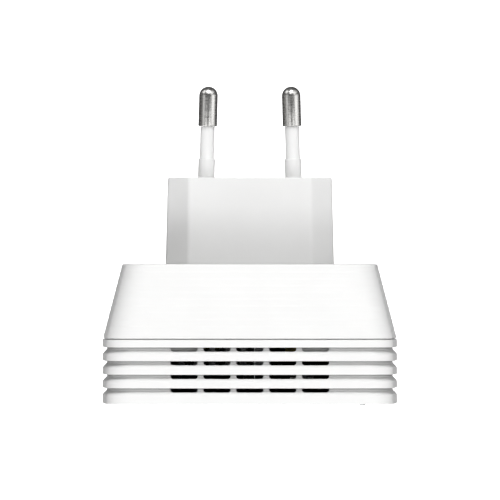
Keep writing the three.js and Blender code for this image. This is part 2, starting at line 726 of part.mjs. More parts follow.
function portCavity() {
  const y0 = NETWORK_BOARD.rear + PORT.lift;
  const z1 = JACK.mouthZ + PORT.depth;
  const half = PORT.width / 2;
  const latch = PORT.latchWidth / 2;
  return union([
    block([JACK.x - half, y0, JACK.mouthZ - 1], [JACK.x + half, y0 + PORT.height, z1]),
    block([JACK.x - latch, y0 - PORT.latchHeight, JACK.mouthZ - 1], [JACK.x + latch, y0 + 1, z1 - 2]),
  ]);
}

function jackBody() {
  const gap = 0.3;
  const half = JACK.width / 2 - gap;
  const y0 = NETWORK_BOARD.rear + SEAT;
  const y1 = NETWORK_BOARD.rear + JACK.height - gap;
  const z0 = JACK.mouthZ + 0.1;
  const body = block([JACK.x - half, y0, z0], [JACK.x + half, y1, JACK.mouthZ + JACK.length - gap]);
  return body.subtract(portCavity());
}

// Eight sprung wires on one moulded bar, slanting back into the port.
function jackContacts() {
  const topY = NETWORK_BOARD.rear + PORT.lift + PORT.height - 0.08;
  const mouth = JACK.mouthZ + 1.4;
  const width = 0.36;
  const bar = block([JACK.x - 4.6, topY - 0.8, mouth], [JACK.x + 4.6, topY, mouth + 1.2]);
  const wires = [];
  for (let i = 0; i < CONTACTS; i++) {
    const x = JACK.x + (i - (CONTACTS - 1) / 2) * CONTACT_PITCH;
    const side = new THREE.Shape();
    side.moveTo(mouth + 0.6, topY - 0.15);
    side.lineTo(mouth + 8.8, topY - 2.1);
    side.lineTo(mouth + 9.0, topY - 1.85);
    side.lineTo(mouth + 9.6, topY - 1.2);
    side.lineTo(mouth + 9.3, topY - 1.1);
    side.lineTo(mouth + 8.7, topY - 1.8);
    side.lineTo(mouth + 0.6, topY + 0.0);
    side.closePath();
    const geometry = new THREE.ExtrudeGeometry(side, { depth: width, bevelEnabled: false });
    geometry.rotateY(-Math.PI / 2);
    geometry.translate(x + width / 2, 0, 0);
    wires.push(solid(geometry));
  }
  return union([bar, ...wires]);
}

function lightPipe(z) {
  const stem = prismY(
    roundedRectangle(LENS_X, z, LENS_WIDTH, LENS_HEIGHT, LENS_WIDTH / 2 - 0.01),
    FRONT_Y - LENS_PROUD, NETWORK_BOARD.front - 0.8);
  const flange = boxAt(LENS_X, z, 2.6, 4.6, FRONT_Y + FACE_WALL + SEAT, FRONT_Y + FACE_WALL + 0.45);
  return stem.add(flange);
}

function led(z) {
  const y1 = NETWORK_BOARD.front - SEAT;
  return boxAt(LENS_X, z, 1.6, 0.9, y1 - 0.65, y1);
}

// A switch body with the hole its plunger slides in, opening towards the bottom end.
function switchBody(x, width, plungerR) {
  const y0 = NETWORK_BOARD.rear + SEAT;
  const y1 = BUTTON_Y + (BUTTON_Y - y0);
  const hole = rodZ(x, BUTTON_Y, plungerR + 0.15, SWITCH.z - 1, SWITCH.z + SWITCH.bore);
  return block([x - width / 2, y0, SWITCH.z], [x + width / 2, y1, SWITCH.z + SWITCH.height]).subtract(hole);
}

function pairButton() {
  const edge = 0.35;
  const flangeZ = PAIR.backZ - 0.7;
  const profile = [
    [0, PAIR.tipZ],
    [PAIR.capR - edge, PAIR.tipZ],
    [PAIR.capR, PAIR.tipZ + edge],
    [PAIR.capR, flangeZ],
    [PAIR.flangeR, flangeZ],
    [PAIR.flangeR, PAIR.backZ],
    [0, PAIR.backZ],
  ];
  const geometry = new THREE.LatheGeometry(profile.map(([r, s]) => new THREE.Vector2(r, s)), 24);
  geometry.rotateX(Math.PI / 2);
  geometry.translate(PAIR.x, BUTTON_Y, 0);
  return solid(geometry);
}

function addNetworkBoard() {
  const black = finish(0x1b1c1e, 0.6);
  const steel = finish(0xb9bab8, 0.3, 1);
  add('network_board', board(NETWORK_BOARD, FRONT_POST_X, FRONT_POST_Z), finish(0x1d5a86, 0.5));
  addScrew('network_board_screw_1', -FRONT_POST_X, FRONT_POST_Z[0], NETWORK_BOARD.rear + SEAT, -1);
  addScrew('network_board_screw_2', FRONT_POST_X, FRONT_POST_Z[1], NETWORK_BOARD.rear + SEAT, -1);

  const chipX = -8;
  const chipZ = 6;
  add('modem_chip', onNetwork(chipX, chipZ, 13, 13, 1.2), black);
  add('thermal_pad', onNetwork(chipX, chipZ, 13, 13, 0.5, 1.3), finish(0x8fb0c4, 0.9));
  add('heat_sink', heatSink(chipX, chipZ, 1.85), finish(0xa9abad, 0.4, 1));
  add('memory_chip', onNetwork(12, 8, 8, 12.5, 1.1), black);
  add('flash_chip', onNetwork(12, -7, 5.2, 6, 1.6), black);
  add('clock_crystal', onNetwork(11, 23, 5, 3.2, 1.2), steel);
  add('power_inductor', onNetwork(21, -11, 7, 7, 4), finish(0x4a4a4c, 0.7));
  add('ethernet_transformer', onNetwork(11, -22, 12.7, 9.5, 5.8), black);
  add('board_header', boardHeader(), finish(0x222326, 0.6));

  add('jack_shield', jackShield(), steel);
  add('jack_body', jackBody(), finish(0x26272a, 0.6));
  add('jack_contacts', jackContacts(), finish(0xd1a94c, 0.25, 1));

  LENS_Z.forEach((z, i) => {
    add(`led_${i + 1}`, led(z), finish(0xf4f1dc, 0.4));
    add(`light_pipe_${i + 1}`, lightPipe(z), finish(0xdfe4e6, 0.15));
  });

  const pairStem = rodZ(PAIR.x, BUTTON_Y, PAIR.plungerR, PAIR.backZ + SEAT, SWITCH.z + SWITCH.entry);
  const resetStem = rodZ(RESET.x, BUTTON_Y, RESET.plungerR, RESET.tipZ, SWITCH.z + SWITCH.entry, 12);
  add('pair_button', pairButton(), finish(0xe6e6e4, 0.5));
  add('pair_switch_plunger', pairStem, black);
  add('pair_switch_body', switchBody(PAIR.x, PAIR.switchWidth, PAIR.plungerR), steel);
  add('reset_plunger', resetStem, finish(0x8a2b2b, 0.5));
  add('reset_switch_body', switchBody(RESET.x, RESET.switchWidth, RESET.plungerR), steel);
}

// ---------------------------------------------------------------- assembly

const bodyWhite = finish(0xf4f4f2, 0.55);
add('front_cover', frontCover(), bodyWhite);
add('rear_cover', rearCover(), bodyWhite);
add('rating_label', ratingLabel(), finish(0xe9e9e6, 0.6));
addPlug();
addPowerBoard();
addNetworkBoard();

export default adapter;
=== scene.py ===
import json
import math

import bmesh
import bpy
import numpy as np
from mathutils import Matrix, Vector


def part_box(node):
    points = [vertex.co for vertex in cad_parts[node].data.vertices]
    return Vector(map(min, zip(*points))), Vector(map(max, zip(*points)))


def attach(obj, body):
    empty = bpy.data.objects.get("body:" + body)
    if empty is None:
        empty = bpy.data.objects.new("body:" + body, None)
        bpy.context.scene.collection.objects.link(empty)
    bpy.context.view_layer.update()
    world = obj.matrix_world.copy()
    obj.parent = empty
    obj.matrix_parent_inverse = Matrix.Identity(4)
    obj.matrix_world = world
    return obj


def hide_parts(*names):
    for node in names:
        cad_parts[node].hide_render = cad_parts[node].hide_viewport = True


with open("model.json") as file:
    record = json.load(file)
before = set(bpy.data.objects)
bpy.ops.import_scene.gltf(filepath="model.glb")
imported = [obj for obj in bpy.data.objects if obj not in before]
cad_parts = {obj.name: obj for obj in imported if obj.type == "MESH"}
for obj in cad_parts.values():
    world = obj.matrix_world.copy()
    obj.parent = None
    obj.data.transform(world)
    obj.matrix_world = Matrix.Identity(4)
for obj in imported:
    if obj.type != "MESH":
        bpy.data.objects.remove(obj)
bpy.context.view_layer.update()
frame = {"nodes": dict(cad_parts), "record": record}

MM = 0.001
RECORD = frame["record"]
NODES = frame["nodes"]
BODY = "adapter"


def node_box(name):
    """A CAD node's lowest and highest corner, in millimetres."""
    low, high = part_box(name)
    return np.array(low) / MM, np.array(high) / MM


# Boxes of the CAD nodes that the pieces stand for
FRONT_LOW, FRONT_HIGH = node_box("front_cover")
REAR_HIGH = node_box("rear_cover")[1]
PLUG_LOW = node_box("plug_block")[0]
LENS_BOXES = [node_box(f"light_pipe_{i}") for i in (1, 2, 3)]
BUTTON_LOW, BUTTON_HIGH = node_box("pair_button")
RESET_LOW, RESET_HIGH = node_box("reset_plunger")
SHIELD_LOW, SHIELD_HIGH = node_box("jack_shield")
LABEL_LOW, LABEL_HIGH = node_box("rating_label")

# Housing, millimetres
HALF_WIDTH = FRONT_HIGH[0]
TOP = FRONT_HIGH[2]
BOTTOM = FRONT_LOW[2]
FRONT_Y = FRONT_LOW[1]
FRONT_END_Y = FRONT_HIGH[1]
SEAM_GAP = 0.2
REAR_START_Y = FRONT_END_Y + SEAM_GAP
REAR_Y = REAR_HIGH[1]
CORNER_R = 5.2
CROWN_R = 380.0
SIDE_R = 480.0
WALL = 2.1
FACE_WALL = 2.0
LIP_INSET = 1.25
LIP_PLAY = 0.12
LIP_LENGTH = 1.3
CLIP_HALF_WIDTH = 3.5
CLIP_LOW = 3.6
CLIP_HIGH = 2.65
CLIP_ROOT_HIGH = 2.1
CORNER_STEPS = 16
CROWN_STEPS = 12
SIDE_STEPS = 12

# Steps and vents of the front cover
STEP_EDGES = (3.35, 6.22, 9.1, 11.99)
GROOVE_DEPTH = 0.95
GROOVE_FLOOR = 0.5
GROOVE_SLOPE = 0.94
GROOVE_PITCH = (STEP_EDGES[-1] - STEP_EDGES[0]) / (len(STEP_EDGES) - 1)
VENT_COLUMNS = 5
VENT_PITCH = 6.95
VENT_WIDTH = 5.77
VENT_HEIGHT = 0.88
VENT_R = 0.6
PAD_LEFT, PAD_RIGHT = -17.5, 22.5
PAD_FRONT_Y = FRONT_Y + 2.7
PAD_REAR_Y = REAR_Y - 8.6
PAD_Z = -39.2

# Holes in the lower end and the front face
JACK_MARGIN = 0.02
JACK_REACH_Z = -33.0
BUTTON_HOLE_R = 2.98
RESET_HOLE_R = 0.85
BUTTON_HOLE_TOP = -36.0
LENS_WIDTH = 1.3
LENS_HEIGHT = 3.2
LENS_PLAY = 0.1
LENS_EDGE = ((0.18, 0), (0.08, -0.03), (0.02, -0.1), (0, -0.22))
BUTTON_R = 2.75
BUTTON_DISH = 0.22
BUTTON_EDGE_R = 0.35
BUTTON_FLANGE_R = 3.5
BUTTON_FLANGE = 0.7
LABEL_CORNER_R = 1.5
LABEL_EDGE = 0.05

# Ribs of the rear cover
RIBS = 11
RIB_START_INSET = 0.12
RIB_WALL = 1.0
RIB_WALL_INSET = 0.194
RIB_STEP_INSET = 0.182

# Plug
PLUG_WIDTH = 35.1
PLUG_HEIGHT = 13.7
PLUG_FLAT = 26.0
PLUG_NOSE = 4.6
PLUG_DRAFT = 0.46
PLUG_FACE_WALL = 3.0
PLUG_SIDE_WALL = 2.2
PLUG_EDGE_R = 0.5
PLUG_HOLE_PLAY = 0.12
FLANGE_WIDTH = 44.0
FLANGE_HEIGHT = 18.5
FLANGE_THICKNESS = 1.55
FLANGE_CORNER_R = 2.0
PIN_BASE_X = 9.32
PIN_TIP_X = 8.79
PIN_LENGTH = 19.46
PIN_TIP_R = 2.0
PIN_TIP_LENGTH = 8.49
PIN_NECK_R = 1.0
PIN_SHOULDER = 0.15
PIN_TAIL = 2.9 - REAR_Y
SLEEVE_R = 1.53
COLLAR_R = 1.78
COLLAR_LENGTH = 4.04
SLEEVE_ROOT = 2.9

# Screws and posts
SCREW_HOLE = 1.0
SCREW_CLEARANCE = 1.15
PLUG_SCREW_X = 19.7
REAR_POSTS = [(side * 19.5, z) for side in (-1, 1) for z in (26.0, -29.5)]
FRONT_POSTS = [(side * 22.0, z) for side in (-1, 1) for z in (28.0, -31.0)]
POST_R = 2.2
REAR_POST_END = REAR_Y - 5.55
FRONT_POST_END = FRONT_Y + 3.25

# Camera: straight down on the vented end
CAMERA_HEIGHT = 3000.0
CAMERA_LENS = 1009.8
CAMERA_AIM = (0.034, -15.51)
SENSOR_WIDTH = 36.0

# Stage, metres and brightness
STAGE_GLOW = 1.1
STAGE_RADIUS = 2.4
FLOOR_HALF = STAGE_RADIUS * 0.6
FLOOR_HEIGHT = -0.16
WORLD_ABOVE = 0.02
WORLD_BELOW = 0.10

# Softboxes: degrees from straight up, degrees round from +X, brightness
SOFTBOXES = (
    (30, 225, 2.32), (30, 315, 2.65),
    (55, 0, 1.5), (55, 45, 1.49), (55, 90, 7.59), (55, 180, 0.8), (55, 225, 1.7), (55, 270, 2.31),
    (80, 0, 1.0), (80, 45, 0.75), (80, 135, 1.8), (80, 180, 0.15), (80, 225, 2.2), (80, 270, 1.80),
    (80, 315, 2.1),
)
SOFTBOX_SIZE = 0.5
SOFTBOX_DISTANCE = 1.0
LIGHT_LEVEL = 1.12
LIT_POINT = (0, -0.015, 0)

# Painted shade in the mouldings: how dark the groove floors are painted, and how that painted shade
# fades out over the slopes, by fractions of the pitch; how dark the plug's root is painted
GROOVE_SHADE = ((0.0, 0.43), (0.04, 0.43), (0.10, 0.62), (0.16, 0.93), (0.21, 1.0))
GROOVE_SHADE_START = 0.03
GROOVE_SHADE_END = 3.9
PLUG_ROOT_SHADE = 0.84
PLUG_SHADE_START = -6.0


# ---------------------------------------------------------------- materials

def new_material(name):
    material = bpy.data.materials.new(name)
    material.use_nodes = True
    tree = material.node_tree
    shader = tree.nodes["Principled BSDF"]
    return material, tree, shader


def link(tree, source, target):
    tree.links.new(source, target)


def place_in_millimetres(tree, stretch=(1, 1, 1)):
    place = tree.nodes.new("ShaderNodeTexCoord")
    mapping = tree.nodes.new("ShaderNodeMapping")
    mapping.inputs["Scale"].default_value = [s * 1000.0 for s in stretch]
    link(tree, place.outputs["Object"], mapping.inputs["Vector"])
    return mapping.outputs["Vector"]


def object_noise(tree, scale, detail=3.0, roughness=0.5, stretch=(1, 1, 1)):
    """Noise in object space; scale is in features per millimetre."""
    noise = tree.nodes.new("ShaderNodeTexNoise")
    noise.inputs["Scale"].default_value = scale
    noise.inputs["Detail"].default_value = detail
    noise.inputs["Roughness"].default_value = roughness
    link(tree, place_in_millimetres(tree, stretch), noise.inputs["Vector"])
    return noise.outputs["Fac"]


def ramp(tree, factor, low, high, start=0.35, end=0.65):
    node = tree.nodes.new("ShaderNodeMapRange")
    node.inputs["From Min"].default_value = start
    node.inputs["From Max"].default_value = end
    node.inputs["To Min"].default_value = low
    node.inputs["To Max"].default_value = high
    link(tree, factor, node.inputs["Value"])
    return node.outputs["Result"]


def two_tone(tree, factor, dark, light, start=0.35, end=0.65):
    mix = tree.nodes.new("ShaderNodeValToRGB")
    mix.color_ramp.elements[0].position = start
    mix.color_ramp.elements[0].color = (*dark, 1.0)
    mix.color_ramp.elements[1].position = end
    mix.color_ramp.elements[1].color = (*light, 1.0)
    link(tree, factor, mix.inputs["Fac"])
    return mix.outputs["Color"]


def bump(tree, shader, height, strength, distance_mm):
    node = tree.nodes.new("ShaderNodeBump")
    node.inputs["Strength"].default_value = strength
    node.inputs["Distance"].default_value = distance_mm * MM
    link(tree, height, node.inputs["Height"])
    link(tree, node.outputs["Normal"], shader.inputs["Normal"])


def shade(colour, factor):
    return tuple(min(1.0, c * factor) for c in colour)


def moulded(name, colour, roughness=0.45, grain=6.0, depth=0.004, spread=0.985, specular=0.5):
    """Injection-moulded plastic: very slight tone drift, a fine spark-eroded grain."""
    material, tree, shader = new_material(name)
    drift = object_noise(tree, 0.12, 2.0)
    link(tree, two_tone(tree, drift, shade(colour, spread), colour), shader.inputs["Base Color"])
    grain_noise = object_noise(tree, grain, 4.0, 0.6)
    link(tree, ramp(tree, grain_noise, roughness - 0.05, roughness + 0.05), shader.inputs["Roughness"])
    bump(tree, shader, grain_noise, 0.5, depth)
    shader.inputs["Specular IOR Level"].default_value = specular
    return material


def maths(tree, operation, first, second=None):
    node = tree.nodes.new("ShaderNodeMath")
    node.operation = operation
    for socket, value in zip(node.inputs, (first, second)):
        if isinstance(value, (int, float)):
            socket.default_value = value
        elif value is not None:
            link(tree, value, socket)
    return node.outputs["Value"]


def along_y(tree):
    """How far along Y a point of the object is, in millimetres."""
    place = tree.nodes.new("ShaderNodeTexCoord")
    split = tree.nodes.new("ShaderNodeSeparateXYZ")
    link(tree, place.outputs["Object"], split.inputs["Vector"])
    return maths(tree, "MULTIPLY", split.outputs["Y"], 1 / MM)


def plastic_with_painted_shade(name, colour, roughness, shading, specular=0.5):
    """Moulded plastic whose colour is multiplied by a painted shade made from the position along Y."""
    material = moulded(name, colour, roughness, specular=specular)
    tree = material.node_tree
    shader = tree.nodes["Principled BSDF"]
    plain = shader.inputs["Base Color"].links[0].from_socket
    product = tree.nodes.new("ShaderNodeVectorMath")
    product.operation = "MULTIPLY"
    link(tree, plain, product.inputs[0])
    link(tree, shading(tree), product.inputs[1])
    link(tree, product.outputs["Vector"], shader.inputs["Base Color"])
    return material


def painted_groove_shade(tree):
    """Painted shade: darkens the floors of the front cover's grooves, and fades out over their slopes."""
    start = FRONT_Y + STEP_EDGES[-1] + GROOVE_SHADE_START
    steps = maths(tree, "DIVIDE", maths(tree, "SUBTRACT", start, along_y(tree)), GROOVE_PITCH)
    before_end = maths(tree, "LESS_THAN", steps, GROOVE_SHADE_END)
    inside = maths(tree, "MULTIPLY", maths(tree, "GREATER_THAN", steps, 0.0), before_end)
    fade = tree.nodes.new("ShaderNodeValToRGB")
    elements = fade.color_ramp.elements
    while len(elements) < len(GROOVE_SHADE):
        elements.new(0.5)
    for element, (position, level) in zip(elements, GROOVE_SHADE):
        element.position = position
        element.color = (level, level, level, 1.0)
    link(tree, maths(tree, "FRACT", steps), fade.inputs["Fac"])
    lost = maths(tree, "MULTIPLY", inside, maths(tree, "SUBTRACT", 1.0, fade.outputs["Color"]))
    return maths(tree, "SUBTRACT", 1.0, lost)


def painted_root_shade(tree):
    """Painted shade: darkens the plug a touch towards its root, next to the body."""
    return ramp(tree, along_y(tree), PLUG_ROOT_SHADE, 1.0, REAR_Y, PLUG_SHADE_START)


def nickel(name):
    """Satin nickel turned on a lathe: fine rings round the pin, soft lengthwise smear."""
    material, tree, shader = new_material(name)
    rings = object_noise(tree, 1.0, 3.0, 0.6, stretch=(0.6, 14.0, 0.6))
    tone = two_tone(tree, rings, (0.56, 0.555, 0.54), (0.66, 0.655, 0.64))
    link(tree, tone, shader.inputs["Base Color"])
    link(tree, ramp(tree, rings, 0.24, 0.34), shader.inputs["Roughness"])
    bump(tree, shader, rings, 0.25, 0.003)
    shader.inputs["Metallic"].default_value = 1.0
    return material


def metal(name, dark, light, roughness=0.35, stretch=(1, 1, 1), scale=2.0):
    """Sheet or turned metal with streaks that vary its tone and gloss."""
    material, tree, shader = new_material(name)
    streaks = object_noise(tree, scale, 3.0, 0.6, stretch)
    link(tree, two_tone(tree, streaks, dark, light), shader.inputs["Base Color"])
    link(tree, ramp(tree, streaks, roughness - 0.08, roughness + 0.08), shader.inputs["Roughness"])
    bump(tree, shader, streaks, 0.2, 0.004)
    shader.inputs["Metallic"].default_value = 1.0
    return material


def circuit_board(name, mask, trace):
    """Solder mask with paler copper runs that show through it."""
    material, tree, shader = new_material(name)
    cells = tree.nodes.new("ShaderNodeTexVoronoi")
    cells.distance = "MANHATTAN"
    cells.feature = "DISTANCE_TO_EDGE"
    cells.inputs["Scale"].default_value = 0.45
    link(tree, place_in_millimetres(tree), cells.inputs["Vector"])
    link(tree, two_tone(tree, cells.outputs["Distance"], trace, mask, 0.04, 0.07), shader.inputs["Base Color"])
    weave = object_noise(tree, 3.0, 2.0)
    link(tree, ramp(tree, weave, 0.28, 0.42), shader.inputs["Roughness"])
    bump(tree, shader, cells.outputs["Distance"], 0.3, 0.03)
    return material


def winding(name, dark, light, axis_stretch, metallic=0.0):
    """Wire or tape laid side by side."""
    material, tree, shader = new_material(name)
    wave = tree.nodes.new("ShaderNodeTexWave")
    wave.inputs["Scale"].default_value = 1.0
    wave.inputs["Distortion"].default_value = 0.6
    link(tree, place_in_millimetres(tree, axis_stretch), wave.inputs["Vector"])
    link(tree, two_tone(tree, wave.outputs["Fac"], dark, light, 0.2, 0.8), shader.inputs["Base Color"])
    bump(tree, shader, wave.outputs["Fac"], 0.6, 0.08)
    shader.inputs["Roughness"].default_value = 0.35
    shader.inputs["Metallic"].default_value = metallic
    return material


def frosted(name):
    """Frosted acrylic: light gets in and scatters."""
    material, tree, shader = new_material(name)
    haze = object_noise(tree, 4.0, 3.0)
    link(tree, two_tone(tree, haze, (0.55, 0.57, 0.58), (0.62, 0.64, 0.65)), shader.inputs["Base Color"])
    link(tree, ramp(tree, haze, 0.12, 0.22), shader.inputs["Roughness"])
    bump(tree, shader, haze, 0.2, 0.003)
    shader.inputs["Transmission Weight"].default_value = 0.35
    shader.inputs["IOR"].default_value = 1.49
    return material


def make_materials():
    return {
        # body_white carries painted shade on the floors of the front cover's grooves
        "body_white": plastic_with_painted_shade("body_white", (0.80, 0.80, 0.795), 0.5, painted_groove_shade, 0.35),
        # plug_grey is the body's white, with painted shade towards the plug's root
        "plug_grey": plastic_with_painted_shade("plug_grey", (0.80, 0.80, 0.795), 0.55, painted_root_shade),
        "label": moulded("label", (0.78, 0.78, 0.77), 0.4, grain=3.0, depth=0.002),
        "pin_nickel": nickel("pin_nickel"),
        "sleeve_white": moulded("sleeve_white", (0.82, 0.82, 0.815), 0.4, depth=0.002),
        "contact_brass": metal("contact_brass", (0.60, 0.45, 0.20), (0.72, 0.56, 0.28)),
        "contact_gold": metal("contact_gold", (0.80, 0.58, 0.22), (0.90, 0.70, 0.32), 0.22),
        "screw_steel": metal("screw_steel", (0.42, 0.42, 0.42), (0.58, 0.58, 0.57)),
        "jack_steel": metal("jack_steel", (0.52, 0.52, 0.52), (0.64, 0.64, 0.63), 0.3, (1, 1, 6)),
        "board_green": circuit_board("board_green", (0.02, 0.11, 0.05), (0.05, 0.22, 0.10)),
        "board_blue": circuit_board("board_blue", (0.01, 0.05, 0.12), (0.03, 0.12, 0.24)),
        "fuse_brown": moulded("fuse_brown", (0.16, 0.08, 0.04), 0.3, spread=0.8),
        "disc_blue": moulded("disc_blue", (0.03, 0.09, 0.32), 0.25, spread=0.85),
        "film_yellow": winding("film_yellow", (0.30, 0.23, 0.06), (0.40, 0.31, 0.10), (0, 0.9, 0)),
        "ferrite": moulded("ferrite", (0.035, 0.035, 0.037), 0.65, depth=0.02, spread=0.7),
        "copper": winding("copper", (0.42, 0.15, 0.05), (0.75, 0.34, 0.14), (1.2, 0, 1.2), 1.0),
        "chip_black": moulded("chip_black", (0.016, 0.016, 0.017), 0.6, spread=0.8),
        "capacitor_sleeve": moulded("capacitor_sleeve", (0.02, 0.022, 0.03), 0.3, spread=0.8),
        "thermal_pad": moulded("thermal_pad", (0.25, 0.38, 0.46), 0.85, depth=0.02, spread=0.9),
        "heat_sink": metal("heat_sink", (0.50, 0.50, 0.51), (0.62, 0.62, 0.63), 0.35, (1, 1, 0.15), 3.0),
        "black_plastic": moulded("black_plastic", (0.02, 0.02, 0.021), 0.5, spread=0.8),
        "led": moulded("led", (0.85, 0.80, 0.62), 0.2),
        "light_pipe": frosted("light_pipe"),
        "button_white": moulded("button_white", (0.84, 0.84, 0.835), 0.4, depth=0.003),
        "button_red": moulded("button_red", (0.20, 0.02, 0.02), 0.4),
    }


# ---------------------------------------------------------------- mesh helpers

def make_piece(name, vertices, faces, material, body, slot, nodes, sharp=30.0):
    """A mesh piece, given in millimetres, that rides on a body and stands for CAD nodes."""
    mesh = bpy.data.meshes.new(name)
    mesh.from_pydata([tuple(float(c) * MM for c in v) for v in vertices], [], faces)
    mesh.validate()
    mesh.update()
    smooth(mesh, sharp)
    piece = bpy.data.objects.new(name, mesh)
    bpy.context.scene.collection.objects.link(piece)
    mesh.materials.append(material)
    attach(piece, body)
    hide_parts(*nodes)
    return piece


def smooth(mesh, sharp=30.0):
    mesh.polygons.foreach_set("use_smooth", [True] * len(mesh.polygons))
    mesh.set_sharp_from_angle(angle=math.radians(sharp))


def loft(sections):
    """A closed body skinned over rings of the same number of points, capped at both ends."""
    count = len(sections[0])
    vertices = [p for section in sections for p in section]
    faces = []
    for r in range(len(sections) - 1):
        a, b = r * count, (r + 1) * count
        for i in range(count):
            j = (i + 1) % count
            faces.append((a + i, a + j, b + j, b + i))
    faces.append(tuple(reversed(range(count))))
    faces.append(tuple(range((len(sections) - 1) * count, len(sections) * count)))
    return vertices, faces


def fillet(points, steps=3):
    """A polyline of (y, inset, radius) with each corner that has a radius rounded off."""
    out = []
    for i, (y, inset, radius) in enumerate(points):
        corner = np.array([y, inset])
        if radius <= 0 or i in (0, len(points) - 1):
            out.append(corner)
            continue
        before = np.array(points[i - 1][:2]) - corner
        after = np.array(points[i + 1][:2]) - corner
        reach = min(radius, np.linalg.norm(before) * 0.45, np.linalg.norm(after) * 0.45)
        start = corner + before / np.linalg.norm(before) * reach
        end = corner + after / np.linalg.norm(after) * reach
        for step in range(steps + 1):
            t = step / steps
            out.append((1 - t) ** 2 * start + 2 * t * (1 - t) * corner + t ** 2 * end)
    return out


def outer_point(first, first_distance, second, second_distance):
    """The outer point at fixed distances from two points."""
    between = second - first
    span = between.length
    along = (first_distance ** 2 - second_distance ** 2 + span ** 2) / (2 * span)
    aside = math.sqrt(first_distance ** 2 - along ** 2)
    between /= span
    return first + between * along + Vector((-between.y, between.x)) * aside


def arc_points(centre, radius, start, end, steps, first, last):
    """The points first to last of an arc in so many steps, with its angles in radians."""
    angles = [start + (end - start) * i / steps for i in range(first, last + 1)]
    return [(centre.x + radius * math.cos(a), centre.y + radius * math.sin(a)) for a in angles]


def end_outline(half_width, reach, middle, radius):
    """One end of the housing's outline, from the middle of the right side over the end to the left side."""
    side = Vector((half_width - SIDE_R, middle))
    crown = Vector((0, reach - CROWN_R))
    corner = outer_point(side, SIDE_R - radius, crown, CROWN_R - radius)
    rise = math.atan2(corner.y - side.y, corner.x - side.x)
    top = math.atan2(corner.y - crown.y, corner.x)
    half = (arc_points(side, SIDE_R, 0, rise, SIDE_STEPS, 0, SIDE_STEPS - 1)
            + arc_points(corner, radius, rise, top, CORNER_STEPS, 0, CORNER_STEPS)
            + arc_points(crown, CROWN_R, top, math.pi / 2, CROWN_STEPS, 1, CROWN_STEPS))
    return half + [(-x, z) for x, z in reversed(half[1:-1])]


def housing_ring(y, inset, radius):
    """The housing's bowed outline at y, drawn in by an inset, with corners of a radius."""
    middle = (TOP + BOTTOM) / 2
    upper = end_outline(HALF_WIDTH - inset, TOP - inset, middle, radius)
    lower = [(-x, -z) for x, z in end_outline(HALF_WIDTH - inset, -BOTTOM - inset, -middle, radius)]
    return [(x, y, z) for x, z in upper + lower][::-1]


# ---------------------------------------------------------------- cutting

def cutter_box(low, high):
    bm = bmesh.new()
    bmesh.ops.create_cube(bm, size=1.0)
    low, high = np.array(low) * MM, np.array(high) * MM
    for v in bm.verts:
        v.co = Vector((np.array(v.co) + 0.5) * (high - low) + low)
    return bm


def cutter_prism(points, axis, low, high):
    """A straight prism of 2D points, carried along axis 'y' or 'z' from low to high."""
    bm = bmesh.new()
    levels = []
    for level in (low, high):
        ring = []
        for a, b in points:
            place = (a, level, b) if axis == "y" else (a, b, level)
            ring.append(bm.verts.new(Vector(place) * MM))
        levels.append(ring)
    count = len(points)
    bm.faces.new(levels[0][::-1])
    bm.faces.new(levels[1])
    for i in range(count):
        j = (i + 1) % count
        bm.faces.new((levels[0][i], levels[0][j], levels[1][j], levels[1][i]))
    bmesh.ops.recalc_face_normals(bm, faces=bm.faces)
    return bm


def cutter_body(vertices, faces):
    """A cutter from loft()'s points and faces."""
    bm = bmesh.new()
    corners = [bm.verts.new(Vector(v) * MM) for v in vertices]
    for face in faces:
        bm.faces.new([corners[i] for i in face])
    bmesh.ops.recalc_face_normals(bm, faces=bm.faces)
    return bm


def cut(piece, cutters, operation="DIFFERENCE"):
    """Takes the cutters out of a piece, or joins them to it."""
    whole = bmesh.new()
    for cutter in cutters:
        part = bpy.data.meshes.new("cutter_part")
        cutter.to_mesh(part)
        cutter.free()
        whole.from_mesh(part)
        bpy.data.meshes.remove(part)
    mesh = bpy.data.meshes.new("cutters")
    whole.to_mesh(mesh)
    whole.free()
    tool = bpy.data.objects.new("cutters", mesh)
    bpy.context.scene.collection.objects.link(tool)
    modifier = piece.modifiers.new("cut", "BOOLEAN")
    modifier.operation = operation
    modifier.object = tool
    modifier.solver = "EXACT"
    modifier.use_self = True
    apply_modifiers(piece)
    bpy.data.objects.remove(tool)
    bpy.data.meshes.remove(mesh)


def apply_modifiers(piece):
    bpy.context.view_layer.update()
    graph = bpy.context.evaluated_depsgraph_get()
    mesh = bpy.data.meshes.new_from_object(piece.evaluated_get(graph), depsgraph=graph)
    old = piece.data
    piece.modifiers.clear()
    piece.data = mesh
    bpy.data.meshes.remove(old)


def arc(cx, cy, radius, start, end, steps):
    """An arc between two angles in degrees."""
    angles = [math.radians(start + (end - start) * i / steps) for i in range(steps + 1)]
    return [(cx + radius * math.cos(a), cy + radius * math.sin(a)) for a in angles]


def circle(cx, cy, radius, sides=48):
    return arc(cx, cy, radius, 0, 360 - 360 / sides, sides - 1)


def screw_hole(x, z, radius, low, high):
    return cutter_prism(circle(x, z, radius, 24), "y", low, high)


def posts(places, low, high):
    return [cutter_prism(circle(x, z, POST_R), "y", low, high) for x, z in places]


def pill(x, z, width, height, radius, steps=8):
    """A rectangle with round corners."""
    right, left = x + width / 2 - radius, x - width / 2 + radius
    high, low = z + height / 2 - radius, z - height / 2 + radius
    return (arc(right, high, radius, 0, 90, steps) + arc(left, high, radius, 90, 180, steps)
            + arc(left, low, radius, 180, 270, steps) + arc(right, low, radius, 270, 360, steps))


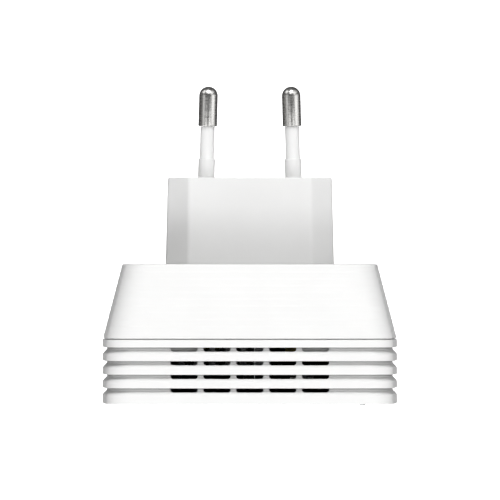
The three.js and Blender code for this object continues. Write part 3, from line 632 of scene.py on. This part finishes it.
def vent_cutters():
    """The slots: straight under the overhang, rounded at their other side."""
    cutters = []
    for edge in STEP_EDGES:
        y = FRONT_Y + edge
        low = y - VENT_HEIGHT + VENT_R
        for column in range(VENT_COLUMNS):
            x = (column - (VENT_COLUMNS - 1) / 2) * VENT_PITCH
            right, left = x + VENT_WIDTH / 2, x - VENT_WIDTH / 2
            outline = ([(right, y), (left, y)] + arc(left + VENT_R, low, VENT_R, 180, 270, 8)
                       + arc(right - VENT_R, low, VENT_R, 270, 360, 8))
            cutters.append(cutter_prism(outline, "z", TOP - 4, TOP + 1))
    return cutters


def bottom_cutters():
    """The recess round the controls and the window for the network socket."""
    window_low = (SHIELD_LOW[0] - JACK_MARGIN, SHIELD_LOW[1] - JACK_MARGIN - 0.05, BOTTOM - 2)
    window_high = (SHIELD_HIGH[0] + JACK_MARGIN, SHIELD_HIGH[1] + JACK_MARGIN, JACK_REACH_Z)
    recess = cutter_box((PAD_LEFT, PAD_FRONT_Y, BOTTOM - 2), (PAD_RIGHT, PAD_REAR_Y, PAD_Z))
    return [recess, cutter_box(window_low, window_high)]


# ---------------------------------------------------------------- housing

def front_profile():
    """The front cover's outside as (y, inset, edge radius), from the front face to the seam."""
    points = [(FRONT_Y, 0.35, 0), (FRONT_Y, 0.0, 0.12)]
    for edge in STEP_EDGES:
        y = FRONT_Y + edge
        points += [(y - GROOVE_FLOOR - GROOVE_SLOPE, 0, 0.3), (y - GROOVE_FLOOR, GROOVE_DEPTH, 0.15),
                   (y, GROOVE_DEPTH, 0.05), (y, 0, 0.06)]
    points += [(FRONT_END_Y, 0, 0.3), (FRONT_END_Y, LIP_INSET, 0)]
    return fillet(points)


def front_shell(materials):
    rings = [housing_ring(y, inset, CORNER_R) for y, inset in front_profile()]
    rebate_y = FRONT_END_Y - LIP_LENGTH
    inside = [(rebate_y, LIP_INSET), (rebate_y, WALL), (FRONT_Y + FACE_WALL, WALL)]
    rings += [housing_ring(y, inset, CORNER_R - inset) for y, inset in inside]
    piece = make_piece("front_shell", *loft(rings), materials["body_white"], BODY, "body_white",
                       ["front_cover"])
    pad = cutter_box((PAD_LEFT, PAD_FRONT_Y, PAD_Z), (PAD_RIGHT, FRONT_END_Y, BOTTOM + WALL + 0.3))
    cut(piece, [pad] + posts(FRONT_POSTS, FRONT_Y + FACE_WALL - 0.5, FRONT_POST_END), "UNION")
    cutters = vent_cutters() + bottom_cutters()
    for box, radius, sides in (((BUTTON_LOW, BUTTON_HIGH), BUTTON_HOLE_R, 48),
                               ((RESET_LOW, RESET_HIGH), RESET_HOLE_R, 24)):
        x, y, _ = (box[0] + box[1]) / 2
        cutters.append(cutter_prism(circle(x, y, radius, sides), "z", BOTTOM - 1, BUTTON_HOLE_TOP))
    cutters += [screw_hole(x, z, SCREW_HOLE, FRONT_Y + 0.9, FRONT_POST_END + 1) for x, z in FRONT_POSTS]
    for low, high in LENS_BOXES:
        x, _, z = (low + high) / 2
        outline = pill(x, z, LENS_WIDTH + 2 * LENS_PLAY, LENS_HEIGHT + 2 * LENS_PLAY, 0.74)
        cutters.append(cutter_prism(outline, "y", FRONT_Y - 1, FRONT_Y + 3))
    cut(piece, cutters)
    smooth(piece.data)


def rear_profile():
    """The rear cover's ribbed outside as (y, inset), from the seam to the rear face, and its last inset."""
    pitch = (REAR_Y - REAR_START_Y) / RIBS
    inset = RIB_START_INSET
    points = [(REAR_START_Y, LIP_INSET, 0), (REAR_START_Y, inset, 0.15)]
    for rib in range(RIBS):
        y = REAR_START_Y + rib * pitch
        if rib:
            points.append((y, inset, 0.12))
        inset += RIB_WALL_INSET
        points.append((y + RIB_WALL, inset, 0.12))
        inset += RIB_STEP_INSET
    points += [(REAR_Y, inset, 0.35), (REAR_Y, inset + 1.0, 0)]
    return fillet(points), inset


def rear_shell(materials):
    outside, last = rear_profile()
    lip = LIP_INSET + LIP_PLAY
    start = RIB_START_INSET + WALL
    rings = [housing_ring(REAR_Y - FACE_WALL, last + WALL - 0.3, CORNER_R - WALL),
             housing_ring(REAR_START_Y, start, CORNER_R - WALL),
             housing_ring(REAR_START_Y - LIP_LENGTH, start, CORNER_R - WALL),
             housing_ring(REAR_START_Y - LIP_LENGTH, lip, CORNER_R - lip),
             housing_ring(REAR_START_Y, lip, CORNER_R - lip)]
    rings += [housing_ring(y, inset, CORNER_R) for y, inset in outside]
    piece = make_piece("rear_shell", *loft(rings), materials["body_white"], BODY, "body_white",
                       ["rear_cover"])
    added = []
    for x in (-2 * VENT_PITCH, 2 * VENT_PITCH):
        left, right = x - CLIP_HALF_WIDTH, x + CLIP_HALF_WIDTH
        added.append(cutter_box((left, FRONT_END_Y - 3.9, TOP - CLIP_LOW),
                                (right, FRONT_END_Y + 1.1, TOP - CLIP_HIGH)))
        added.append(cutter_box((left, FRONT_END_Y + 0.12, TOP - CLIP_LOW),
                                (right, FRONT_END_Y + 3.1, TOP - CLIP_ROOT_HIGH)))
    cut(piece, added + posts(REAR_POSTS, REAR_POST_END, REAR_Y - 1), "UNION")
    screws = REAR_POSTS + [(-PLUG_SCREW_X, 0), (PLUG_SCREW_X, 0)]
    holes = [screw_hole(x, z, SCREW_HOLE, REAR_POST_END - 1, REAR_Y - 0.8) for x, z in screws]
    plug_outline = [(x, z) for x, _, z in plug_ring(0, PLUG_DRAFT + PLUG_HOLE_PLAY)]
    plug_hole = cutter_prism(plug_outline, "y", REAR_Y - 4, REAR_Y + 1)
    cut(piece, [plug_hole] + bottom_cutters() + holes)
    smooth(piece.data)


# ---------------------------------------------------------------- plug

def plug_ring(y, margin, radius=1.6, steps=8):
    """The plug's outline: a flattened hexagon with round corners, grown by a margin."""
    flat, high = PLUG_FLAT / 2 + margin * 0.4, PLUG_HEIGHT / 2 + margin
    wide, nose = PLUG_WIDTH / 2 + margin, PLUG_NOSE / 2 + margin * 0.4
    corners = [Vector(c) for c in ((wide, nose), (flat, high), (-flat, high), (-wide, nose),
                                   (-wide, -nose), (-flat, -high), (flat, -high), (wide, -nose))]
    points = []
    for i, corner in enumerate(corners):
        before = (corners[i - 1] - corner).normalized()
        after = (corners[(i + 1) % 8] - corner).normalized()
        half = before.angle(after) / 2
        centre = corner + (before + after).normalized() * (radius / math.sin(half))
        tangent = corner + before * (radius / math.tan(half)) - centre
        start = math.atan2(tangent.y, tangent.x)
        turn = math.pi - 2 * half
        for step in range(steps + 1):
            angle = start + turn * step / steps
            points.append((centre.x + radius * math.cos(angle), y, centre.y + radius * math.sin(angle)))
    return points[::-1]


def plug_shell(materials):
    back = PLUG_LOW[1]
    seat = back + FLANGE_THICKNESS
    corners = [(seat - 0.5, PLUG_DRAFT, 0), (REAR_Y, PLUG_DRAFT, 0), (0, 0, PLUG_EDGE_R), (0, -1.0, 0)]
    profile = fillet(corners, 6)
    rings = [plug_ring(y, margin) for y, margin in profile]
    piece = make_piece("plug_shell", *loft(rings), materials["plug_grey"], BODY, "plug_grey", ["plug_block"])
    flange = pill(0, 0, FLANGE_WIDTH, FLANGE_HEIGHT, FLANGE_CORNER_R)
    cut(piece, [cutter_prism(flange, "y", back, seat)], "UNION")
    hollow = [plug_ring(back - 1, -PLUG_SIDE_WALL), plug_ring(-PLUG_FACE_WALL, -PLUG_SIDE_WALL - 0.2)]
    cutters = [cutter_body(*loft(hollow))]
    for side in (-1, 1):
        pin_hole = circle(side * (PIN_BASE_X + 0.02), 0, COLLAR_R + PLUG_HOLE_PLAY)
        cutters.append(cutter_prism(pin_hole, "y", -PLUG_FACE_WALL - 0.5, 1))
        cutters.append(screw_hole(side * PLUG_SCREW_X, 0, SCREW_CLEARANCE, back - 1, seat + 1))
    cut(piece, cutters)
    smooth(piece.data)


def turned(name, profile, material, body, slot, nodes, place, sides=48, sharp=35.0):
    """A round body along Y, turned from (radius, y) points and set in place.

    A profile that starts off the axis is a closed ring, as a sleeve's is.
    """
    vertices, faces = [], []
    rings = []
    for radius, y in profile:
        if radius <= 1e-6:
            rings.append([len(vertices)])
            vertices.append((0, y, 0))
            continue
        rings.append(list(range(len(vertices), len(vertices) + sides)))
        for i in range(sides):
            angle = 2 * math.pi * i / sides
            vertices.append((radius * math.sin(angle), y, radius * math.cos(angle)))
    pairs = list(zip(rings, rings[1:]))
    if len(rings[0]) > 1:
        pairs.append((rings[-1], rings[0]))
    for low, high in pairs:
        for i in range(sides):
            j = (i + 1) % sides
            if len(low) == 1:
                faces.append((low[0], high[j], high[i]))
            elif len(high) == 1:
                faces.append((low[i], low[j], high[0]))
            else:
                faces.append((low[i], low[j], high[j], high[i]))
    moved = [place @ Vector(v) for v in vertices]
    return make_piece(name, moved, faces, material, body, slot, nodes, sharp)


def pin_place(side):
    """Where a pin's base sits, and its lean towards the other pin."""
    lean = side * math.atan((PIN_BASE_X - PIN_TIP_X) / PIN_LENGTH)
    return Matrix.Translation((side * PIN_BASE_X, 0, 0)) @ Matrix.Rotation(lean, 4, "Z")


def pin_profile():
    start = PIN_LENGTH - PIN_TIP_LENGTH
    round_start = PIN_LENGTH - PIN_TIP_R
    inner = PIN_TIP_R - PIN_SHOULDER
    profile = [(0, -PIN_TAIL), (PIN_NECK_R, -PIN_TAIL), (PIN_NECK_R, start), (inner, start)]
    for i in range(1, 6):
        a = math.pi / 2 * i / 5
        profile.append((inner + PIN_SHOULDER * math.sin(a), start + PIN_SHOULDER * (1 - math.cos(a))))
    for i in range(16):
        a = math.pi / 2 * i / 16
        profile.append((PIN_TIP_R * math.cos(a), round_start + PIN_TIP_R * math.sin(a)))
    profile.append((0, PIN_LENGTH))
    return profile


def sleeve_profile():
    bore = PIN_NECK_R + 0.12
    top = PIN_LENGTH - PIN_TIP_LENGTH - 0.05
    edge = COLLAR_LENGTH
    return [(bore, -SLEEVE_ROOT), (COLLAR_R, -SLEEVE_ROOT), (COLLAR_R, edge - 0.25),
            (COLLAR_R - 0.04, edge - 0.1), (COLLAR_R - 0.13, edge), (SLEEVE_R + 0.04, edge + 0.02),
            (SLEEVE_R, edge + 0.08), (SLEEVE_R, top), (bore, top)]


def make_pins(materials):
    for name, side in (("left", -1), ("right", 1)):
        place = pin_place(side)
        turned(f"plug_pin_{name}", pin_profile(), materials["pin_nickel"], BODY, "pin_nickel",
               [f"pin_{name}"], place)
        turned(f"pin_sleeve_{name}", sleeve_profile(), materials["sleeve_white"], BODY, "sleeve_white",
               [f"sleeve_{name}"], place)


# ---------------------------------------------------------------- small outside pieces

def make_lenses(materials):
    for i, (low, high) in enumerate(LENS_BOXES):
        x, _, z = (low + high) / 2
        rings = []
        for y, grow in [(high[1], 0)] + [(low[1] + rise, grow) for rise, grow in LENS_EDGE]:
            radius = LENS_WIDTH / 2 + grow - 0.005
            outline = pill(x, z, LENS_WIDTH + 2 * grow, LENS_HEIGHT + 2 * grow, radius)
            rings.append([(a, y, b) for a, b in outline])
        piece = make_piece(f"lens_{i + 1}", *loft(rings), materials["light_pipe"], BODY, "light_pipe",
                           [f"light_pipe_{i + 1}"])
        fix_normals(piece)


def make_label(materials):
    x, _, z = (LABEL_LOW + LABEL_HIGH) / 2
    width, _, height = LABEL_HIGH - LABEL_LOW
    rings = []
    for y, grow in ((LABEL_LOW[1], 0), (LABEL_HIGH[1] - 0.04, 0), (LABEL_HIGH[1], -LABEL_EDGE)):
        outline = pill(x, z, width + 2 * grow, height + 2 * grow, LABEL_CORNER_R + grow, 10)
        rings.append([(a, y, b) for a, b in outline])
    piece = make_piece("rating_plate", *loft(rings), materials["label"], BODY, "label", ["rating_label"])
    fix_normals(piece)


def make_pair_button(materials):
    """The pair button: a dished tip with a round edge, and a flange that keeps it in the cover."""
    x, y, _ = (BUTTON_LOW + BUTTON_HIGH) / 2
    tip, back = BUTTON_LOW[2], BUTTON_HIGH[2]
    flange = back - BUTTON_FLANGE
    profile = [(0, tip + BUTTON_DISH)]
    profile += [(BUTTON_R * s, tip + BUTTON_DISH * (1 - s * s) ** 2) for s in (0.2, 0.4, 0.6, 0.75)]
    for i in range(7):
        a = math.pi / 2 * i / 6
        profile.append((BUTTON_R - BUTTON_EDGE_R + BUTTON_EDGE_R * math.sin(a),
                        tip + BUTTON_EDGE_R - BUTTON_EDGE_R * math.cos(a)))
    profile += [(BUTTON_R, flange), (BUTTON_FLANGE_R, flange), (BUTTON_FLANGE_R, back), (0, back)]
    place = Matrix.Translation((x, y, 0)) @ Matrix.Rotation(math.pi / 2, 4, "X")
    piece = turned("pair_key", profile, materials["button_white"], "pair_button_body", "button_white",
                   ["pair_button"], place)
    fix_normals(piece)


def fix_normals(piece):
    bm = bmesh.new()
    bm.from_mesh(piece.data)
    bmesh.ops.recalc_face_normals(bm, faces=bm.faces)
    bm.to_mesh(piece.data)
    bm.free()


# ---------------------------------------------------------------- carried-over nodes

def dress_nodes(materials):
    """Every CAD node that stays gets its slot's material and softened edges."""
    slots = {row["node"]: row["material_slot"] for row in RECORD["subparts"]}
    for name, node in NODES.items():
        node.data.materials.clear()
        node.data.materials.append(materials[slots[name]])
        if node.hide_render:
            continue
        low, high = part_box(name)
        thinnest = min(high[i] - low[i] for i in range(3))
        bevel = node.modifiers.new("edges", "BEVEL")
        bevel.width = min(0.15 * MM, thinnest * 0.12)
        bevel.segments = 2
        bevel.limit_method = "ANGLE"
        bevel.angle_limit = math.radians(40)
        node.data.polygons.foreach_set("use_smooth", [True] * len(node.data.polygons))
        node.data.set_sharp_from_angle(angle=math.radians(35))


# ---------------------------------------------------------------- stage

def make_lights():
    middle = Vector(LIT_POINT)
    for polar, turn, brightness in SOFTBOXES:
        polar_angle, turn_angle = math.radians(polar), math.radians(turn)
        direction = Vector((math.sin(polar_angle) * math.cos(turn_angle),
                            math.sin(polar_angle) * math.sin(turn_angle), math.cos(polar_angle)))
        data = bpy.data.lights.new(f"softbox_{polar}_{turn}", "AREA")
        data.shape = "SQUARE"
        data.size = SOFTBOX_SIZE
        data.energy = math.pi * SOFTBOX_SIZE ** 2 * brightness * LIGHT_LEVEL
        light = bpy.data.objects.new(data.name, data)
        light.location = middle + direction * SOFTBOX_DISTANCE
        light.rotation_euler = (-direction).to_track_quat("-Z", "Y").to_euler()
        light.visible_camera = False
        bpy.context.scene.collection.objects.link(light)


def make_stage():
    """A pale floor and a dome that only the camera sees, and only from inside.

    Both glow a little, so they read as clean white paper.
    """
    material, tree, shader = new_material("stage_white")
    grain = object_noise(tree, 0.02, 2.0)
    link(tree, two_tone(tree, grain, (0.70, 0.70, 0.70), (0.72, 0.72, 0.72)), shader.inputs["Base Color"])
    shader.inputs["Roughness"].default_value = 0.9
    shader.inputs["Specular IOR Level"].default_value = 0.0
    shader.inputs["Emission Color"].default_value = (1, 1, 1, 1)
    shader.inputs["Emission Strength"].default_value = STAGE_GLOW
    geometry = tree.nodes.new("ShaderNodeNewGeometry")
    clear = tree.nodes.new("ShaderNodeBsdfTransparent")
    one_sided = tree.nodes.new("ShaderNodeMixShader")
    link(tree, geometry.outputs["Backfacing"], one_sided.inputs["Fac"])
    link(tree, shader.outputs["BSDF"], one_sided.inputs[1])
    link(tree, clear.outputs["BSDF"], one_sided.inputs[2])
    link(tree, one_sided.outputs["Shader"], tree.nodes["Material Output"].inputs["Surface"])
    floor = bmesh.new()
    bmesh.ops.create_grid(floor, x_segments=1, y_segments=1, size=FLOOR_HALF)
    bmesh.ops.translate(floor, verts=floor.verts, vec=(0, 0, FLOOR_HEIGHT))
    dome = bmesh.new()
    bmesh.ops.create_icosphere(dome, subdivisions=4, radius=STAGE_RADIUS)
    bmesh.ops.reverse_faces(dome, faces=dome.faces)
    for name, bm in (("floor", floor), ("dome", dome)):
        mesh = bpy.data.meshes.new(name)
        bm.to_mesh(mesh)
        bm.free()
        mesh.materials.append(material)
        piece = bpy.data.objects.new(name, mesh)
        bpy.context.scene.collection.objects.link(piece)
        piece.visible_diffuse = False
        piece.visible_glossy = False
        piece.visible_transmission = False
        piece.visible_shadow = False


def make_world():
    """Dim studio surroundings: next to nothing from above, a little bounce from below."""
    world = bpy.data.worlds.new("studio")
    bpy.context.scene.world = world
    world.use_nodes = True
    tree = world.node_tree
    background = tree.nodes["Background"]
    place = tree.nodes.new("ShaderNodeTexCoord")
    split = tree.nodes.new("ShaderNodeSeparateXYZ")
    link(tree, place.outputs["Generated"], split.inputs["Vector"])
    level = ramp(tree, split.outputs["Z"], WORLD_BELOW, WORLD_ABOVE, -0.1, 0.1)
    link(tree, level, background.inputs["Strength"])
    background.inputs["Color"].default_value = (1, 1, 1, 1)


def make_camera():
    data = bpy.data.cameras.new("camera")
    data.lens = CAMERA_LENS
    data.sensor_width = SENSOR_WIDTH
    data.clip_start = 0.01
    data.clip_end = 10.0
    camera = bpy.data.objects.new("camera", data)
    camera.location = Vector((CAMERA_AIM[0], CAMERA_AIM[1], CAMERA_HEIGHT)) * MM
    bpy.context.scene.collection.objects.link(camera)
    bpy.context.scene.camera = camera


make_camera()
make_stage()
make_world()
make_lights()
bpy.context.scene.view_settings.view_transform = "Standard"

MATERIALS = make_materials()
front_shell(MATERIALS)
rear_shell(MATERIALS)
plug_shell(MATERIALS)
make_pins(MATERIALS)
make_lenses(MATERIALS)
make_label(MATERIALS)
make_pair_button(MATERIALS)
dress_nodes(MATERIALS)
